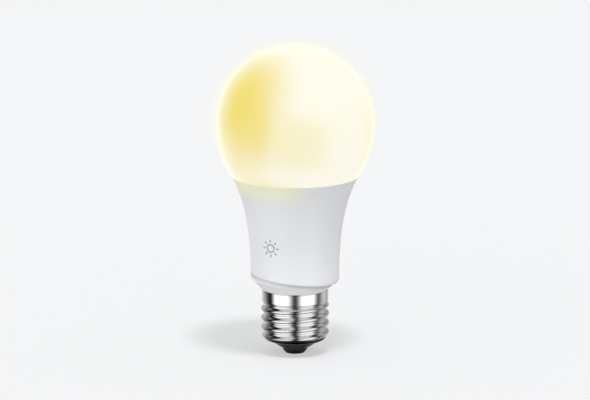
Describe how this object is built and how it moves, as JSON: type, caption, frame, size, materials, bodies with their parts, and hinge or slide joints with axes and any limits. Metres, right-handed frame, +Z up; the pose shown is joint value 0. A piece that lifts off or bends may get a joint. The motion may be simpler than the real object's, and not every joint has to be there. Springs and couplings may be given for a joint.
{
  "type": "smart light bulb",
  "caption": "Pear-shaped smart light bulb: opal globe on a white flared housing with an E27 screw cap, light board, driver and radio inside.",
  "frame": {"origin": "centre of the flat underside of the centre contact, on the axis of the bulb", "axes": "+Z runs up the axis from the contact to the globe, and -Y is the front, where the printed mark is"},
  "size_m": [0.06, 0.06, 0.12],
  "materials": {
    "opal_diffuser": "opal, lit warm white",
    "silicone": "soft matt",
    "housing_plastic": "satin moulded",
    "core_plastic": "satin moulded",
    "cap_metal": "bright nickel plate",
    "cap_glass": "black vitrite",
    "contact_metal": "worn plate",
    "heat_sink_aluminium": "deep drawn",
    "thermal_silicone": "soft matt",
    "white_board": "white solder mask",
    "phosphor": "yellow phosphor",
    "screw_steel": "zinc plate",
    "connector_plastic": "moulded",
    "green_board": "green solder mask",
    "black_plastic": "moulded",
    "gold_pins": "flash plate",
    "tinned_wire": "tinned",
    "resistor_ceramic": "lacquered",
    "blue_epoxy": "dipped epoxy",
    "black_sleeve": "shrunk film",
    "blue_sleeve": "shrunk film",
    "red_epoxy": "dipped epoxy",
    "ferrite": "ground ferrite",
    "yellow_tape": "tape over winding",
    "copper_wire": "enamelled wire",
    "blue_board": "blue solder mask",
    "shield_metal": "pressed tin plate",
    "antenna_copper": "bare track",
    "brown_insulation": "wire insulation",
    "blue_insulation": "wire insulation"
  },
  "bodies": {
    "root": {"diffuser_globe": "opal_diffuser", "diffuser_adhesive": "silicone", "housing_shell": "housing_plastic", "base_core": "core_plastic", "screw_shell": "cap_metal", "cap_insulator": "cap_glass", "centre_contact": "contact_metal", "heat_sink_cup": "heat_sink_aluminium", "thermal_pad": "thermal_silicone", "led_board": "white_board", "led_chips": "phosphor", "led_board_screws": "screw_steel", "led_board_socket": "connector_plastic", "transformer_bobbin": "connector_plastic", "driver_board": "green_board", "driver_pin_header": "black_plastic", "bridge_rectifier": "black_plastic", "driver_chip": "black_plastic", "driver_small_parts": "black_plastic", "fuse_sleeve": "black_plastic", "driver_pins": "gold_pins", "wireless_pins": "gold_pins", "component_leads": "tinned_wire", "solder_joints": "tinned_wire", "live_solder": "tinned_wire", "neutral_solder": "tinned_wire", "fusible_resistor": "resistor_ceramic", "varistor": "blue_epoxy", "input_capacitor": "black_sleeve", "output_capacitor": "blue_sleeve", "film_capacitor": "red_epoxy", "transformer_core": "ferrite", "choke_core": "ferrite", "transformer_winding": "yellow_tape", "choke_winding": "copper_wire", "wireless_board": "blue_board", "wireless_shield": "shield_metal", "wireless_antenna": "antenna_copper", "live_lead": "brown_insulation", "neutral_lead": "blue_insulation"}
  },
  "joints": []
}
